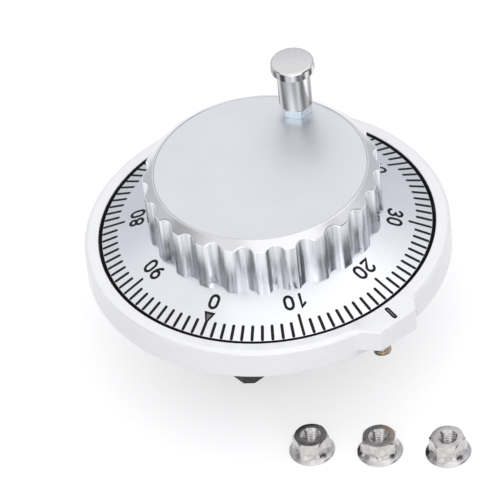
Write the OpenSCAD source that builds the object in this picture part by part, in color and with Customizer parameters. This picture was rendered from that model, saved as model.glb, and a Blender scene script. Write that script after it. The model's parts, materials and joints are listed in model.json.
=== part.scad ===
// Pulse generator handwheel: a fluted knob with a graduated dial, a spinning
// crank grip, a detented ball-bearing spindle and an optical pulse encoder.
// Origin: centre of the bezel's mounting face. +Z runs along the spindle, out of the panel.

/* [Bezel] */
// Outer diameter of the round bezel
bezel_d = 80; // [76:1:90]
// Height of the bezel above its mounting face
bezel_h = 7; // [6.6:0.1:9]
// Width of the bezel's flat top ring
bezel_lip = 3.15; // [2.6:0.05:3.4]
// Rounding of the bezel's outer top edge
bezel_round = 0.6; // [0.3:0.1:1.2]
// Thickness of the bezel's floor
floor_t = 2; // [1.6:0.1:2.4]
// Height of the shelf that carries the studs
shelf_h = 4.4; // [4.2:0.1:4.6]
// Width of that shelf
shelf_w = 4.9; // [4.7:0.1:5.6]

/* [Index tab] */
// Direction of the index mark, seen from above
index_angle = -52.9; // [-90:0.1:0]
// Direction of the tab that the mark is on
tab_angle = -54; // [-90:0.1:0]
// How far the tab reaches past the bezel
tab_reach = 3.1; // [2:0.05:4]
// Width of the tab's flat outer face
tab_face_w = 10; // [7:0.1:12]
// Width of the tab where it meets the bezel
tab_root_w = 16.8; // [13:0.1:19]
// Radius that blends the tab into the bezel
tab_blend = 3; // [1:0.5:4]
// Height of the tab, from the bezel's top down
tab_h = 5.4; // [4:0.1:6]
// Length of the index mark
mark_l = 4.1; // [3:0.1:4.4]
// Width of the index mark
mark_w = 1.1; // [0.8:0.1:1.4]
// Depth of the index mark
mark_depth = 0.4; // [0.2:0.1:0.8]

/* [Mounting] */
// Distance of the mounting studs from the bezel's edge
stud_inset = 4; // [4:0.5:5]
// Number of mounting studs
stud_count = 3; // [3:1:4]
// Thread diameter of the mounting studs
stud_d = 4; // [3:0.5:4]
// How far the studs stand out behind the bezel
stud_out = 7; // [6:0.5:14]
// How deep the studs screw into the bezel
stud_in = 3.8; // [3:0.1:4]
// Width across the flats of the flange nuts
nut_af = 7; // [6.5:0.1:8]
// Diameter of the nut's flange
nut_flange_d = 10; // [9:0.1:12]
// Height of the flange nuts
nut_h = 4.65; // [4:0.05:5.5]
// Distance between the loose flange nuts
nut_pitch = 14.75; // [13:0.05:20]
// Place of the middle nut to the right of the spindle
nut_x = 18.6; // [10:0.1:40]
// Distance of the middle nut in front of the spindle
nut_y = 44.8; // [42:0.1:70]
// Direction of the row of loose nuts
nut_row_angle = -10.7; // [-30:0.1:30]
// Gap between the panel gasket and the studs
gasket_gap = 1; // [0.6:0.1:1.4]
// Width of the panel gasket
gasket_w = 2; // [1.5:0.1:2.2]
// Thickness of the panel gasket
gasket_t = 0.8; // [0.5:0.1:1]
// Thickness of the felt ring that keeps dust out under the dial's rim
felt_t = 0.5; // [0.3:0.05:0.55]

/* [Dial] */
// Gap between the dial's rim and the bezel's inner wall
dial_gap = 0.8; // [0.6:0.05:1]
// How far the dial's rim lies below the bezel's top
dial_drop = 0.2; // [0:0.1:0.4]
// Slope of the dial's face, in degrees
dial_slope = 20.8; // [16:0.2:23]
// Thickness of the dial's plate
dial_t = 1.6; // [1.4:0.1:1.8]
// Number of graduations on the dial
dial_marks = 100; // [50:10:120]
// Direction of the dial's zero mark at rest
zero_angle = -117.7; // [-180:0.1:180]
// Length of a short graduation, along the face
tick_l = 3.8; // [3:0.1:4.5]
// Length of a graduation that has a number
long_tick_l = 5.4; // [5:0.1:6]
// Width of a graduation
tick_w = 0.56; // [0.3:0.02:0.7]
// Depth of the engraved graduations
tick_depth = 0.12; // [0.08:0.02:0.2]

/* [Knob] */
// Diameter over the crests of the flutes
knob_d = 51.4; // [50.8:0.1:53]
// Number of flutes
flutes = 24; // [18:1:28]
// Depth of a flute
flute_depth = 1.05; // [0.8:0.05:1.2]
// Radius of a flute's hollow
flute_r = 2.7; // [2.2:0.1:3]
// Height of the knob's flat top above the mounting face
knob_top = 24.55; // [24:0.05:27]
// Diameter of the knob's flat top
knob_flat_d = 47; // [46.4:0.1:47.8]
// Slope of the bevel between the flat top and the flutes, in degrees
bevel_slope = 37; // [30:1:45]
// Inner diameter of the hollow knob
knob_bore_d = 44.4; // [43.6:0.1:44.8]
// Thickness of the knob's end wall
knob_wall = 3; // [2.8:0.1:3.4]
// Diameter of the round cap in the knob's top
cap_d = 46.3; // [45.6:0.1:46.4]
// Thickness of that cap
cap_t = 1; // [0.8:0.1:1.2]

/* [Crank grip] */
// Distance of the crank grip's axis from the edge of the cap
crank_inset = 3.45; // [3.35:0.05:4.6]
// Direction of the crank grip, counted from the dial's zero mark
crank_turn = 179; // [150:1:210]
// Width across the flats of the pin's hexagon
hex_af = 6; // [5.5:0.1:6.4]
// Height of the hexagon
hex_h = 2.15; // [1.6:0.05:3]
// Diameter of the pin that the grip turns on
pin_d = 4; // [3.4:0.1:4.4]
// Diameter of the grip
grip_d = 7.4; // [7:0.1:9]
// Length of the grip, head included
grip_l = 11.55; // [10:0.05:20]
// Diameter of the grip's head
head_d = 9.6; // [9:0.1:12]
// Height of the grip's head
head_h = 2.3; // [1.8:0.1:3]
// Rounding of the head's top edge
head_round = 0.6; // [0.3:0.1:0.8]

/* [Spindle] */
// Diameter of the spindle in its bearings
shaft_d = 8; // [8:0.5:8]
// Outer diameter of the ball bearings
bearing_d = 16; // [15.6:0.1:17]
// Width of a ball bearing
bearing_w = 5; // [4.4:0.1:5.2]
// Diameter of the bearing balls
ball_d = 2.4; // [2.2:0.1:2.5]
// Number of balls in a bearing
balls = 9; // [7:1:10]
// Height of the lower bearing above the mounting face
bearing_z = 1.5; // [1.5:0.1:1.8]
// Distance between the two bearings
bearing_gap = 6; // [5.4:0.1:6.2]
// Outer diameter of the bearing hub
hub_d = 24; // [22:0.5:25]

/* [Detent] */
// Diameter over the tips of the detent teeth
detent_d = 31; // [30.6:0.1:31.6]
// Depth of a detent notch
notch_depth = 0.3; // [0.2:0.05:0.4]
// Thickness of the detent ring
detent_t = 2; // [1.6:0.1:2.2]
// Diameter of the detent plunger
plunger_d = 3; // [2.6:0.1:3.2]
// Diameter of the plunger's round nose
nose_d = 1.6; // [1.4:0.1:1.8]
// Wire diameter of the detent spring
spring_wire = 0.35; // [0.25:0.05:0.4]

/* [Encoder] */
// Length of the rear case
case_l = 47; // [45:0.5:48]
// Width of the rear case
case_w = 36; // [35.6:0.1:37]
// Depth of the rear case behind the mounting face
case_h = 13; // [12.6:0.1:15]
// Wall of the rear case
case_wall = 1.6; // [1.2:0.1:1.8]
// Chamfer along the case's corners
case_chamfer = 1.7; // [1:0.1:2]
// Diameter of the code disc
disc_d = 28; // [26:0.5:28.4]
// Thickness of the code disc
disc_t = 0.3; // [0.2:0.05:0.5]
// Number of windows in the code disc
windows = 100; // [50:10:100]
// Thickness of the circuit board
board_t = 1.6; // [1:0.1:2]
// Number of wire terminals
terminals = 6; // [4:1:6]
// Distance between the wire terminals
terminal_pitch = 5.08; // [5:0.01:5.4]
// Width of the terminal block
block_w = 11; // [10:0.5:13]
// Height of the terminal block
block_h = 8; // [7:0.5:10]

/* [Clearances] */
// Gap between faces that seat on each other
seat_gap = 0.02; // [0.01:0.01:0.03]
// Radial gap of a running fit
run_gap = 0.05; // [0.03:0.01:0.08]
// Gap between moving bodies that must not touch
free_gap = 0.4; // [0.3:0.05:0.45]

/* [Hidden] */
$fn = 96;
eps = 0.01;
screw_play = 0.3;                        // on the diameter of a screw's clearance hole
leg_play = 0.2;
groove_play = 0.05;

// Bezel
bezel_r = bezel_d / 2;
well_r = bezel_r - bezel_lip;            // inner wall, around the dial
shelf_r = well_r - shelf_w;
stud_r = bezel_r - stud_inset;
stud_root_d = stud_d - 0.3;              // part that is screwed into the bezel
stud_recess = 0.3;
gasket_r = stud_r - stud_d / 2 - gasket_gap - gasket_w;

// Dial: a cone whose face rises from the rim to the knob. Its flat flange carries the knob.
rim_z = bezel_h - dial_drop;
rim_r = well_r - dial_gap;
slope = tan(dial_slope);
function dial_z(r) = rim_z + slope * (rim_r - r);
step_r = knob_bore_d / 2 - 0.3;
flange_top = dial_z(step_r) - 0.7;
flange_z = flange_top - dial_t;
flange_r = 16.5;
flange_blend_r = rim_r - (flange_top - rim_z) / slope;

// Knob: a hollow fluted drum with a bevel below its flat top
crest_r = knob_d / 2;
valley_r = crest_r - flute_depth;
flat_r = knob_flat_d / 2;
function bevel_z(r) = knob_top - tan(bevel_slope) * (r - flat_r);
knob_bore_r = knob_bore_d / 2;
cap_r = cap_d / 2;
plate_top = knob_top - cap_t;
plate_z = plate_top - knob_wall;

// Ball bearings
shaft_r = shaft_d / 2;
bearing_r = bearing_d / 2;
cage_space = 1.6;
race_w = (bearing_r - shaft_r - cage_space) / 2;
ball_ring_r = (shaft_r + bearing_r) / 2;
ball_r = ball_d / 2;
cage_h = ball_d + 1;
upper_z = bearing_z + bearing_w + bearing_gap;
bearings_z = [bearing_z, upper_z];
hub_r = hub_d / 2;
hub_top = upper_z + bearing_w;
shoulder_r = bearing_r - race_w + 0.1;

// Knob hub: a washer and a screw clamp it to the spindle, against a spacer
knob_hub_r = 7;
knob_hub_z = hub_top + free_gap;
clamp_z = plate_z + 0.4;
hub_washer_r = 5.2;
hub_washer_t = 0.8;
hub_screw_d = 4;
hub_screw_l = 10;
hub_head_d = 7;
hub_head_h = 1.5;
flat_depth = 0.6;                        // flat on the spindle that turns the knob
shaft_top = clamp_z - 0.3;
shaft_foot = 0.2;
tail_r = shaft_r - 1;
circlip_t = 0.8;
circlip_z = bearing_z - circlip_t - 0.1;
circlip_depth = 0.6;
circlip_reach = 1.2;
circlip_open = 2.4;

// Screws that hold the dial and the detent ring to the knob
dial_screw_r = 19.2;
dial_screw_d = 2.5;
dial_screw_head_d = 4.6;
dial_screw_head_h = 1.4;
dial_screw_l = 6;
dial_boss_r = 3.2;
dial_screws_at = [for (i = [0:2]) zero_angle + crank_turn + 60 + 120 * i];

// Detent: the plunger lies along +Y in the bearing hub, and its nose rests in a notch
detent_r = detent_d / 2;
detent_z = flange_z - detent_t;
detent_outer_r = 22;
plunger_r = plunger_d / 2;
plunger_z = detent_z + detent_t / 2;
nose_r = nose_d / 2;
nose_sink = nose_r - sqrt(pow(nose_r, 2) - pow(notch_depth, 2)) - 0.015;
nose_y = detent_r + nose_sink - nose_r;
guide_y = nose_y - free_gap;
plunger_l = 2.8;
plunger_back = guide_y - plunger_l;
spring_back = bearing_r + 1.2;
spring_turns = 4;
spring_play = 0.1;
guide_w = plunger_d + 3;

// Crank pin and grip
crank_angle = zero_angle + crank_turn;
crank_r = cap_r - crank_inset;
pin_r = pin_d / 2;
crank_thread_d = 4;
crank_boss_r = 3.8;
crank_boss_l = 5.5;
hex_top = knob_top + hex_h;
grip_z = hex_top + free_gap;
grip_top = grip_z + grip_l;
grip_r = grip_d / 2;
head_r = head_d / 2;
pin_top = grip_top - head_h;
snap_t = 0.5;
snap_z = pin_top - 1.2;
snap_depth = 0.4;
snap_r = pin_r + snap_depth;
snap_open = 1;
snap_play = 0.3;
pin_end_gap = 0.3;
hex_turn = 40;
grip_edge = 0.3;
flare_h = 0.6;
flare_w = 0.2;
flare_edge = 0.25;

// Encoder, drawn with the case's short side along the index tab
disc_z = -3.6;
disc_flange_r = 8;
disc_flange_t = 0.8;
disc_sleeve_r = 5;
disc_sleeve_h = 2.2;
set_screw_d = 1.6;
set_screw_sink = 0.2;
tail_z = disc_z - 0.8;
window_l = 3;
window_r = disc_d / 2 - 0.6 - window_l;
window_w = 0.34;
case_back = 2;
case_boss_r = 2.9;
case_screw_d = 3;
case_screw_head_d = 5;
case_screw_head_h = 1.6;
case_screw_sink = 1.8;
head_play = 0.4;
case_screw_p = case_w / 2 - case_wall - 1.8;
case_screw_q = case_l / 2 - case_wall - 1.9;
bezel_boss_h = 5.4;
case_thread_l = 4;
board_z = -8.2;
board_top = board_z + board_t;
board_play = 0.5;
board_pillar_r = 2.5;
board_screw_d = 2.5;
board_screw_l = 4;
board_head_d = 4.4;
board_head_h = 1.2;
board_screws_at = [[0, -17.6], [-9, 17], [9, 17]];
sensor_p = 8;
sensor_q = [10.8, 17.6];
sensor_top = -0.6;
disc_gap = 0.6;
terminals_q = [for (i = [0:terminals - 1]) (i - (terminals - 1) / 2) * terminal_pitch];
terminal_rib = 1.2;
terminal_bay = terminal_pitch - terminal_rib;
block_l = terminals * terminal_pitch + terminal_rib;
block_base = 4;
block_wall = 2.5;
plate_t = 0.8;
plate_play = 0.15;
plate_p = -4.8;
plate_l = 7.6;
leg_w = 0.9;
leg_p = 2;
terminal_screw_p = -1.6;
terminal_screw_d = 2.5;
terminal_screw_l = 3.6;
terminal_head_d = 3.6;
terminal_head_h = 1.5;
floor_z = -case_h - block_h;             // plane that the terminal block and the nuts stand on

// ---------- places and shared shapes ----------

module at_index() { rotate([0, 0, index_angle]) children(); }

module at_crank() { rotate([0, 0, crank_angle]) translate([crank_r, 0, 0]) children(); }

module at_studs() {
    for (i = [0:stud_count - 1])
        rotate([0, 0, index_angle + 360 / stud_count * i])
            translate([stud_r, 0, 0]) children();
}

module at_case_corners() {
    at_index()
        for (p = [-1, 1], q = [-1, 1])
            translate([p * case_screw_p, q * case_screw_q, 0]) children();
}

module at_board_screws() {
    at_index()
        for (place = board_screws_at)
            translate([place[0], place[1], 0]) children();
}

module at_dial_screws() {
    for (angle = dial_screws_at)
        rotate([0, 0, angle]) translate([dial_screw_r, 0, 0]) children();
}

module at_terminals() {
    at_index()
        for (q = terminals_q)
            translate([0, q, 0]) children();
}

module ring(outer, inner, height) {
    difference() {
        cylinder(r = outer, h = height);
        translate([0, 0, -1]) cylinder(r = inner, h = height + 2);
    }
}

// Cross-slotted screw. Its head sits on z = 0 and its thread points down.
module screw(d, head_d, head_h, length) {
    slot_w = 0.2 * head_d;
    slot_l = 0.6 * head_d;
    difference() {
        union() {
            translate([0, 0, -length]) cylinder(d = d, h = length + eps);
            cylinder(d = head_d, h = head_h);
        }
        for (angle = [0, 90])
            rotate([0, 0, angle])
                translate([-slot_l / 2, -slot_w / 2, head_h / 2])
                    cube([slot_l, slot_w, head_h]);
    }
}

// Coil spring of round wire along +Z, as one swept tube.
module coil(r, wire, length, turns) {
    sides = 8;
    steps = 16 * turns;
    rise = length - wire;
    points = [for (i = [0:steps], j = [0:sides - 1])
        let (turn = 360 * turns * i / steps, around = 360 * j / sides,
            reach = r + wire / 2 * cos(around))
        [reach * cos(turn), reach * sin(turn), wire / 2 + rise * i / steps + wire / 2 * sin(around)]];
    walls = [for (i = [0:steps - 1], j = [0:sides - 1])
        let (k = (j + 1) % sides)
        [i * sides + j, (i + 1) * sides + j, (i + 1) * sides + k, i * sides + k]];
    first = [for (j = [0:sides - 1]) j];
    last = [for (j = [sides - 1:-1:0]) steps * sides + j];
    polyhedron(points, concat([first, last], walls), convexity = 10);
}

// ---------- bezel ----------

// Each flank of the tab runs from its face to its root.
// The blend circle touches the flank and the round bezel.
tab_face = [bezel_r + tab_reach, tab_face_w / 2];
tab_root = [sqrt(pow(bezel_r, 2) - pow(tab_root_w / 2, 2)), tab_root_w / 2];
flank = (tab_root - tab_face) / norm(tab_root - tab_face);
blend_from = tab_face + tab_blend * [flank[1], -flank[0]];
blend_run = -blend_from * flank - sqrt(pow(blend_from * flank, 2)
    - blend_from * blend_from + pow(bezel_r + tab_blend, 2));
blend_centre = blend_from + blend_run * flank;
blend_on_flank = tab_face + blend_run * flank;
blend_on_bezel = blend_centre * bezel_r / norm(blend_centre);
tab_inner = well_r + 1;

module tab_outline() {
    polygon([[tab_inner, -tab_root[1]], [tab_root[0], -tab_root[1]],
        [tab_face[0], -tab_face[1]], tab_face, tab_root, [tab_inner, tab_root[1]]]);
    for (side = [0, 1])
        mirror([0, side])
            difference() {
                polygon([[tab_inner, 0], blend_on_flank, blend_centre, blend_on_bezel,
                    [tab_inner, tab_root[1]]]);
                translate(blend_centre) circle(r = tab_blend);
            }
}

// Slot with round ends, from just outside the dial to near the tab's face.
module mark_outline(gap) {
    start = well_r + 1.1 + mark_w / 2;
    end = start + mark_l - mark_w;
    translate([start, 0]) circle(d = mark_w - 2 * gap);
    translate([end, 0]) circle(d = mark_w - 2 * gap);
    translate([start, -mark_w / 2 + gap]) square([end - start, mark_w - 2 * gap]);
}

module bezel_section() {
    difference() {
        union() {
            square([bezel_r - bezel_round, floor_t]);
            square([hub_r, hub_top]);
            translate([shelf_r, 0]) square([shelf_w + bezel_lip, shelf_h]);
            translate([well_r, 0]) square([bezel_lip, bezel_h - bezel_round]);
            translate([well_r, 0]) square([bezel_lip - bezel_round, bezel_h]);
            translate([bezel_r - bezel_round, bezel_h - bezel_round]) circle(r = bezel_round);
        }
        translate([-1, -1]) square([shoulder_r + 1, hub_top + 2]);
        translate([-1, -1])
            square([bearing_r + seat_gap + 1, bearing_z + bearing_w + 1]);
        translate([-1, upper_z]) square([bearing_r + seat_gap + 1, bearing_w + 1]);
        translate([gasket_r, -1]) square([gasket_w, gasket_t + 1]);
    }
}

module bezel() {
    color("gainsboro")
    difference() {
        union() {
            rotate_extrude($fn = 180) bezel_section();
            rotate([0, 0, tab_angle])
                translate([0, 0, bezel_h - tab_h]) linear_extrude(tab_h) tab_outline();
            at_case_corners() cylinder(r = case_boss_r, h = bezel_boss_h);
            translate([-guide_w / 2, hub_r - 2, floor_t / 2])
                cube([guide_w, guide_y - hub_r + 2, plunger_z + plunger_r + 1]);
        }
        translate([0, spring_back, plunger_z])
            rotate([-90, 0, 0]) cylinder(r = plunger_r + run_gap, h = guide_y);
        at_studs() {
            translate([0, 0, -1]) cylinder(r = stud_root_d / 2 + seat_gap, h = stud_in + 1.1);
            translate([0, 0, -1]) cylinder(r = stud_d / 2 + seat_gap, h = stud_recess + 1);
        }
        at_case_corners()
            translate([0, 0, -1])
                cylinder(r = case_screw_d / 2 + seat_gap, h = case_thread_l + 1.2);
        at_index()
            translate([0, 0, bezel_h - mark_depth])
                linear_extrude(mark_depth + 1) mark_outline(0);
    }
}

// Black filling of the index mark's slot
module index_mark() {
    color("black")
    at_index()
        translate([0, 0, bezel_h - mark_depth + seat_gap])
            linear_extrude(mark_depth - 2 * seat_gap) mark_outline(seat_gap);
}

module dust_ring() {
    color("dimgray")
    translate([0, 0, shelf_h + seat_gap]) ring(well_r - 0.1, shelf_r + 1, felt_t - seat_gap);
}

module panel_gasket() {
    color("darkslategray")
    translate([0, 0, seat_gap])
        ring(gasket_r + gasket_w - seat_gap, gasket_r + seat_gap, gasket_t - 2 * seat_gap);
}

module mounting_studs() {
    color("goldenrod")
    at_studs() {
        translate([0, 0, -stud_out]) cylinder(d = stud_d, h = stud_out - seat_gap);
        translate([0, 0, -stud_out / 2]) cylinder(d = stud_root_d, h = stud_out / 2 + stud_in);
    }
}

// Hexagon nut with a dished flange, lying on its flange
module flange_nut() {
    flange_t = 1;
    hex_r = nut_af / sqrt(3);
    bore_d = 0.84 * stud_d;
    mouth_d = 1.2 * stud_d;
    mouth_h = 0.4;
    crown = 0.15;
    difference() {
        union() {
            cylinder(d = nut_flange_d, h = flange_t / 2);
            translate([0, 0, flange_t / 2])
                cylinder(d1 = nut_flange_d, d2 = nut_af, h = flange_t);
            intersection() {
                cylinder(r = hex_r, h = nut_h, $fn = 6);
                cylinder(r1 = nut_af / 2 + nut_h * 2, r2 = nut_af / 2, h = nut_h + crown);
            }
        }
        translate([0, 0, -1]) cylinder(d = bore_d, h = nut_h + 2);
        translate([0, 0, nut_h - mouth_h]) cylinder(d1 = bore_d, d2 = mouth_d, h = 0.7);
    }
}

module flange_nuts() {
    color("silver")
    translate([nut_x, -nut_y, floor_z])
        rotate([0, 0, nut_row_angle])
            for (i = [-1:1])
                translate([i * nut_pitch, 0, 0])
                    rotate([0, 0, i == 0 ? 30 : 0]) flange_nut();
}

// ---------- bearings and spindle ----------

module race(inner, outer, height) {
    rotate_extrude()
        difference() {
            translate([inner, 0]) square([outer - inner, height]);
            translate([ball_ring_r, height / 2]) circle(r = ball_r + run_gap);
        }
}

module bearing_outer_rings() {
    color("lightsteelblue")
    for (z = bearings_z)
        translate([0, 0, z + seat_gap])
            race(bearing_r - race_w, bearing_r, bearing_w - 2 * seat_gap);
}

module bearing_inner_rings() {
    color("lightsteelblue")
    for (z = bearings_z)
        translate([0, 0, z + seat_gap])
            race(shaft_r + seat_gap, shaft_r + race_w, bearing_w - 2 * seat_gap);
}

module at_balls() {
    for (z = bearings_z, i = [0:balls - 1])
        rotate([0, 0, 360 / balls * i])
            translate([ball_ring_r, 0, z + bearing_w / 2]) children();
}

module bearing_balls() {
    color("gray")
    at_balls() sphere(r = ball_r, $fn = 48);
}

module bearing_cages() {
    cage_gap = 0.2;
    color("peru")
    difference() {
        for (z = bearings_z)
            translate([0, 0, z + (bearing_w - cage_h) / 2])
                ring(bearing_r - race_w - cage_gap, shaft_r + race_w + cage_gap, cage_h);
        at_balls()
            rotate([0, 90, 0]) cylinder(r = ball_r + run_gap, h = cage_space * 2, center = true);
    }
}

module shaft() {
    color("silver")
    difference() {
        union() {
            translate([0, 0, shaft_foot]) cylinder(r = shaft_r, h = shaft_top - shaft_foot);
            translate([0, 0, tail_z]) cylinder(r = tail_r, h = shaft_foot - tail_z + eps);
        }
        translate([0, 0, circlip_z - groove_play])
            ring(shaft_r + 1, shaft_r - circlip_depth, circlip_t + 2 * groove_play);
        translate([shaft_r - flat_depth, -shaft_r, knob_hub_z])
            cube([shaft_r, 2 * shaft_r, shaft_top]);
        translate([0, 0, clamp_z - hub_screw_l - 0.5])
            cylinder(d = hub_screw_d + 2 * seat_gap, h = hub_screw_l + 2);
    }
}

module circlip() {
    color("dimgray")
    translate([0, 0, circlip_z])
        difference() {
            ring(shaft_r + circlip_reach, shaft_r - circlip_depth + seat_gap, circlip_t);
            translate([0, -circlip_open / 2, -1])
                cube([shaft_r + circlip_reach + 1, circlip_open, circlip_t + 2]);
        }
}

module bearing_spacer() {
    color("slategray")
    translate([0, 0, bearing_z + bearing_w + seat_gap])
        ring(shaft_r + race_w, shaft_r + seat_gap, bearing_gap - 2 * seat_gap);
}

module knob_spacer() {
    color("slategray")
    translate([0, 0, hub_top + seat_gap])
        ring(shaft_r + race_w + 0.6, shaft_r + seat_gap, knob_hub_z - hub_top - 2 * seat_gap);
}

module hub_washer() {
    color("silver")
    translate([0, 0, clamp_z + seat_gap])
        ring(hub_washer_r, (hub_screw_d + screw_play) / 2, hub_washer_t - seat_gap);
}

module hub_screw() {
    color("dimgray")
    translate([0, 0, clamp_z + hub_washer_t + seat_gap])
        screw(hub_screw_d, hub_head_d, hub_head_h, hub_screw_l);
}

// ---------- knob and dial ----------

// Drum with hollow flutes. One hollow points at the dial's zero mark.
module fluted_outline() {
    difference() {
        circle(r = crest_r, $fn = 180);
        for (i = [0:flutes - 1])
            rotate(zero_angle + 360 / flutes * i)
                translate([valley_r + flute_r, 0]) circle(r = flute_r);
    }
}

// Space that the dial takes up below the knob
module below_dial_face(gap) {
    rotate_extrude($fn = 180)
        polygon([[0, 0], [rim_r, 0], [rim_r, rim_z + gap],
            [step_r - gap, dial_z(step_r - gap) + gap], [step_r - gap, flange_top + gap],
            [0, flange_top + gap]]);
}

module knob() {
    drum_r = crest_r + 1;
    color("lightgray")
    difference() {
        union() {
            difference() {
                intersection() {
                    linear_extrude(knob_top) fluted_outline();
                    rotate_extrude($fn = 180)
                        polygon([[0, 0], [drum_r, 0], [drum_r, bevel_z(drum_r)],
                            [flat_r, knob_top], [0, knob_top]]);
                }
                translate([0, 0, -1]) cylinder(r = knob_bore_r, h = plate_z + 1, $fn = 180);
            }
            translate([0, 0, knob_hub_z]) cylinder(r = knob_hub_r, h = plate_z - knob_hub_z + 1);
            at_crank()
                translate([0, 0, plate_z - crank_boss_l])
                    cylinder(r = crank_boss_r, h = crank_boss_l + 1);
            at_dial_screws() cylinder(r = dial_boss_r, h = plate_z + 1);
        }
        below_dial_face(2 * seat_gap);
        translate([0, 0, plate_top]) cylinder(r = cap_r + seat_gap, h = cap_t + 1, $fn = 180);
        translate([0, 0, clamp_z]) cylinder(r = hub_washer_r + free_gap, h = knob_wall + 1);
        difference() {
            translate([0, 0, knob_hub_z - 1]) cylinder(r = shaft_r + seat_gap, h = knob_wall * 3);
            translate([shaft_r - flat_depth + seat_gap, -shaft_r, 0])
                cube([shaft_r, 2 * shaft_r, knob_top]);
        }
        at_crank()
            translate([0, 0, plate_z - crank_boss_l - 1])
                cylinder(d = crank_thread_d + 2 * seat_gap, h = knob_top);
        at_dial_screws()
            cylinder(d = dial_screw_d + 2 * seat_gap, h = detent_z + dial_screw_l + 0.5);
    }
}

module top_cap() {
    color("whitesmoke")
    translate([0, 0, plate_top + seat_gap])
        difference() {
            cylinder(r = cap_r, h = cap_t - seat_gap, $fn = 180);
            at_crank()
                translate([0, 0, -1]) cylinder(d = crank_thread_d + 2 * seat_gap, h = cap_t + 2);
        }
}

// One engraved graduation, along the cone from the rim inwards
module graduation(length) {
    translate([rim_r, 0, rim_z])
        rotate([0, dial_slope, 0])
            translate([-length, -tick_w / 2, -tick_depth])
                cube([length + 1, tick_w, tick_depth + 1]);
}

module dial_ring() {
    color("gainsboro")
    difference() {
        rotate_extrude($fn = 180)
            polygon([[rim_r, rim_z], [step_r, dial_z(step_r)], [step_r, flange_top],
                [flange_r, flange_top], [flange_r, flange_z], [flange_blend_r, flange_z],
                [rim_r, rim_z - dial_t]]);
        for (i = [0:dial_marks - 1])
            rotate([0, 0, zero_angle + 360 / dial_marks * i])
                graduation(i % 10 == 0 && i > 0 ? long_tick_l : tick_l);
        at_dial_screws() cylinder(d = dial_screw_d + screw_play, h = flange_top + 1);
    }
}

module dial_screws() {
    color("dimgray")
    at_dial_screws()
        translate([0, 0, detent_z - seat_gap])
            mirror([0, 0, 1])
                screw(dial_screw_d, dial_screw_head_d, dial_screw_head_h, dial_screw_l);
}

// ---------- detent ----------

// Ring with one V notch per pulse on its inner edge
module detent_ring() {
    notch = notch_depth + 0.1;
    color("darkkhaki")
    translate([0, 0, detent_z + seat_gap])
        difference() {
            linear_extrude(detent_t - 2 * seat_gap)
                difference() {
                    circle(r = detent_outer_r, $fn = 180);
                    circle(r = detent_r, $fn = 180);
                    for (i = [0:dial_marks - 1])
                        rotate(90 + 360 / dial_marks * i)
                            polygon([[detent_r - 0.1, -notch], [detent_r + notch_depth, 0],
                                [detent_r - 0.1, notch]]);
                }
            translate([0, 0, -detent_z])
                at_dial_screws() cylinder(d = dial_screw_d + screw_play, h = flange_top);
        }
}

module detent_plunger() {
    color("gray")
    translate([0, 0, plunger_z])
        rotate([-90, 0, 0])
            union() {
                translate([0, 0, plunger_back]) cylinder(r = plunger_r, h = plunger_l);
                translate([0, 0, guide_y - eps]) cylinder(r = nose_r, h = nose_y - guide_y + eps);
                translate([0, 0, nose_y]) sphere(r = nose_r, $fn = 48);
            }
}

module detent_spring() {
    color("silver")
    translate([0, spring_back + seat_gap, plunger_z])
        rotate([-90, 0, 0])
            coil(plunger_r - spring_wire / 2 - spring_play, spring_wire,
                plunger_back - spring_back - 2 * seat_gap, spring_turns);
}

// ---------- crank ----------

module crank_pin() {
    color("lightsteelblue")
    at_crank()
        difference() {
            union() {
                translate([0, 0, plate_z - crank_boss_l + 1])
                    cylinder(d = crank_thread_d, h = knob_top - plate_z + crank_boss_l);
                translate([0, 0, knob_top + seat_gap])
                    rotate([0, 0, hex_turn])
                        cylinder(r = hex_af / sqrt(3), h = hex_h - seat_gap, $fn = 6);
                translate([0, 0, hex_top - eps]) cylinder(r = pin_r, h = pin_top - hex_top);
            }
            translate([0, 0, snap_z - groove_play])
                ring(pin_r + 1, pin_r - snap_depth, snap_t + 2 * groove_play);
        }
}

module crank_snap_ring() {
    color("dimgray")
    at_crank()
        translate([0, 0, snap_z])
            difference() {
                ring(snap_r, pin_r - snap_depth + seat_gap, snap_t);
                translate([0, -snap_open / 2, -1]) cube([snap_r + 1, snap_open, snap_t + 2]);
            }
}

// Turned grip with a blind bore, an inner groove for the snap ring and a round-edged head
module crank_grip() {
    head_z = grip_top - head_h;
    color("silver")
    at_crank()
        rotate_extrude()
            difference() {
                union() {
                    polygon([[0, grip_z], [grip_r - grip_edge, grip_z], [grip_r, grip_z + grip_edge],
                        [grip_r, head_z - flare_h], [grip_r + flare_w, head_z - flare_edge],
                        [head_r - grip_edge, head_z], [head_r, head_z + grip_edge],
                        [head_r, grip_top - head_round], [head_r - head_round, grip_top],
                        [0, grip_top]]);
                    intersection() {
                        translate([head_r - head_round, grip_top - head_round])
                            circle(r = head_round);
                        square([head_r, grip_top]);
                    }
                }
                translate([-1, grip_z - 1])
                    square([pin_r + run_gap + 1, pin_top - grip_z + pin_end_gap + 1]);
                translate([-1, snap_z - snap_play])
                    square([snap_r + snap_play + 1, snap_t + 2 * snap_play]);
            }
}

// ---------- encoder ----------

module case_outline(shrink) {
    p = case_w / 2 - shrink;
    q = case_l / 2 - shrink;
    c = case_chamfer - shrink * (2 - sqrt(2));
    polygon([[p, -q + c], [p, q - c], [p - c, q], [-p + c, q], [-p, q - c], [-p, -q + c],
        [-p + c, -q], [p - c, -q]]);
}

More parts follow.
